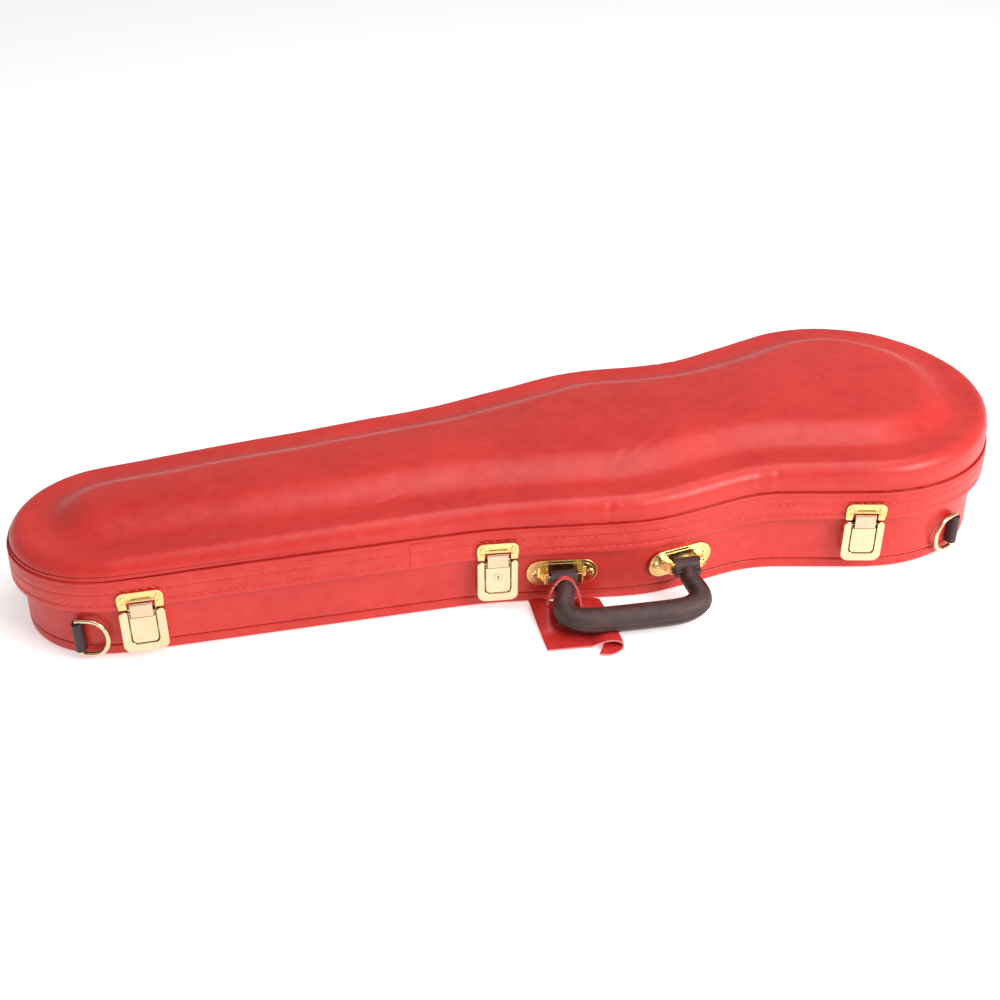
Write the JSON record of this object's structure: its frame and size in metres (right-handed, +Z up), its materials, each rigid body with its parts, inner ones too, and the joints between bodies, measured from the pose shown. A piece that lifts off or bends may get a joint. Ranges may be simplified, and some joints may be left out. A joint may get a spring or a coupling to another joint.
{
  "type": "violin case",
  "caption": "Violin-shaped hard case in red leather with a domed hinged lid, brass draw latches, a padded carrying handle and a plush-lined bed for the instrument.",
  "frame": {"origin": "on the floor under the middle of the case's length, on its centre line, at the underside of the base leather", "axes": "+X along the case towards the wide tail end, -Y towards the handle and latches, +Z up out of the lid, with the case lying on its back"},
  "size_m": [0.79, 0.3049, 0.1099],
  "materials": {
    "red_leather": "smooth red leather with a soft sheen, tonal stitching",
    "dark_leather": "grained dark brown leather",
    "brass": "polished lacquered brass",
    "plywood": "moulded plywood, bare where it shows at the rim",
    "plush": "short plush pile",
    "padding": "plush over foam"
  },
  "bodies": {
    "base": {"base_leather": "red_leather", "side_leather": "red_leather", "body_shell_front": "plywood", "body_shell_rear": "plywood", "rim_tongue_front": "plywood", "rim_tongue_rear": "plywood", "instrument_bed": "plush", "neck_cradle": "padding", "neck_strap": "dark_leather", "accessory_box": "padding", "lower_block_pad": "padding", "upper_block_pad": "padding", "hinge_1_body_leaf": "brass", "hinge_2_body_leaf": "brass", "hinge_1_pin": "brass", "hinge_2_pin": "brass", "latch_1_plate": "brass", "latch_2_plate": "brass", "latch_3_plate": "brass", "latch_1_pin": "brass", "latch_2_pin": "brass", "latch_3_pin": "brass", "handle_plate_left": "brass", "handle_plate_right": "brass", "handle_pin_left": "brass", "handle_pin_right": "brass", "d_ring_1_loop": "dark_leather", "d_ring_2_loop": "dark_leather"},
    "lid": {"lid_shell_front": "plywood", "lid_shell_rear": "plywood", "lid_top_leather": "red_leather", "lid_band": "red_leather", "lid_lining": "plush", "bow_holder_base_left": "dark_leather", "bow_holder_base_right": "dark_leather", "bow_tip_pocket_left": "plush", "bow_tip_pocket_right": "plush", "hinge_1_lid_leaf": "brass", "hinge_2_lid_leaf": "brass", "latch_1_keeper": "brass", "latch_2_keeper": "brass", "latch_3_keeper": "brass"},
    "latch_1_lever": {"latch_1_lever": "brass"},
    "latch_2_lever": {"latch_2_lever": "brass"},
    "latch_3_lever": {"latch_3_lever": "brass"},
    "latch_1_hasp": {"latch_1_hasp": "brass"},
    "latch_2_hasp": {"latch_2_hasp": "brass"},
    "latch_3_hasp": {"latch_3_hasp": "brass"},
    "lock": {"lock_plug": "brass"},
    "handle": {"handle_grip": "dark_leather", "handle_loop_left": "dark_leather", "handle_loop_right": "dark_leather", "tag_strap": "red_leather"},
    "tag": {"tag_flap": "red_leather"},
    "d_ring_1": {"d_ring_1": "brass"},
    "d_ring_2": {"d_ring_2": "brass"},
    "bow_holder_left": {"bow_holder_left": "dark_leather"},
    "bow_holder_right": {"bow_holder_right": "dark_leather"},
    "accessory_lid": {"accessory_lid": "plush", "accessory_tab": "dark_leather"}
  },
  "joints": [
    {"name": "lid_hinge", "type": "hinge", "parent": "base", "child": "lid", "pos_m": [0.16449, 0.12334, 0.04861], "axis": [-0.9965, -0.0824, -0.011], "range_deg": [0, 100]},
    {"name": "latch_1_lift", "type": "hinge", "parent": "base", "child": "latch_1_lever", "pos_m": [-0.30504, -0.07515, 0.03895], "axis": [-0.9989, 0.0477, 0], "range_deg": [0, 70]},
    {"name": "latch_1_hasp_tilt", "type": "hinge", "parent": "latch_1_lever", "child": "latch_1_hasp", "pos_m": [-0.30524, -0.07935, 0.03814], "axis": [-0.9989, 0.0477, 0], "range_deg": [-98, 0]},
    {"name": "latch_2_lift", "type": "hinge", "parent": "base", "child": "latch_2_lever", "pos_m": [-0.04614, -0.08984, 0.04179], "axis": [-0.9883, 0.1522, 0], "range_deg": [0, 70]},
    {"name": "latch_2_hasp_tilt", "type": "hinge", "parent": "latch_2_lever", "child": "latch_2_hasp", "pos_m": [-0.04678, -0.09399, 0.04099], "axis": [-0.9883, 0.1522, 0], "range_deg": [-98, 0]},
    {"name": "latch_3_lift", "type": "hinge", "parent": "base", "child": "latch_3_lever", "pos_m": [0.23975, -0.12097, 0.04494], "axis": [-0.959, 0.2833, 0], "range_deg": [0, 70]},
    {"name": "latch_3_hasp_tilt", "type": "hinge", "parent": "latch_3_lever", "child": "latch_3_hasp", "pos_m": [0.23855, -0.12499, 0.04414], "axis": [-0.959, 0.2833, 0], "range_deg": [-98, 0]},
    {"name": "lock_turn", "type": "hinge", "parent": "latch_2_lever", "child": "lock", "pos_m": [-0.046, -0.08895, 0.03169], "axis": [0.1522, 0.9883, 0], "range_deg": [0, 90]},
    {"name": "handle_swing", "type": "hinge", "parent": "base", "child": "handle", "pos_m": [0.04918, -0.1065, 0.0282], "axis": [-0.9951, 0.0988, 0], "range_deg": [0, 88]},
    {"name": "tag_hang", "type": "hinge", "parent": "handle", "child": "tag", "pos_m": [0.00024, -0.1132, 0.02332], "axis": [-0.9951, 0.0988, 0], "range_deg": [-88, 0]},
    {"name": "d_ring_1_swing", "type": "hinge", "parent": "base", "child": "d_ring_1", "pos_m": [-0.35126, -0.06643, 0.019], "axis": [0, 0, -1], "range_deg": [0, 150]},
    {"name": "d_ring_2_swing", "type": "hinge", "parent": "base", "child": "d_ring_2", "pos_m": [0.32627, -0.1145, 0.02], "axis": [0, 0, 1], "range_deg": [0, 150]},
    {"name": "bow_holder_left_turn", "type": "hinge", "parent": "lid", "child": "bow_holder_left", "pos_m": [0.3, -0.05, 0.08867], "axis": [0, 0, 1], "range_deg": [0, 90]},
    {"name": "bow_holder_right_turn", "type": "hinge", "parent": "lid", "child": "bow_holder_right", "pos_m": [0.3, 0.05, 0.08867], "axis": [0, 0, -1], "range_deg": [0, 90]},
    {"name": "accessory_lid_lift", "type": "hinge", "parent": "base", "child": "accessory_lid", "pos_m": [-0.256, 0, 0.03559], "axis": [0, 1, 0], "range_deg": [0, 8]}
  ],
  "couplings": [
    {"joint": "latch_1_hasp_tilt", "follows": "latch_1_lift", "ratio": -1.4},
    {"joint": "latch_2_hasp_tilt", "follows": "latch_2_lift", "ratio": -1.4},
    {"joint": "latch_3_hasp_tilt", "follows": "latch_3_lift", "ratio": -1.4},
    {"joint": "tag_hang", "follows": "handle_swing", "ratio": -1}
  ]
}
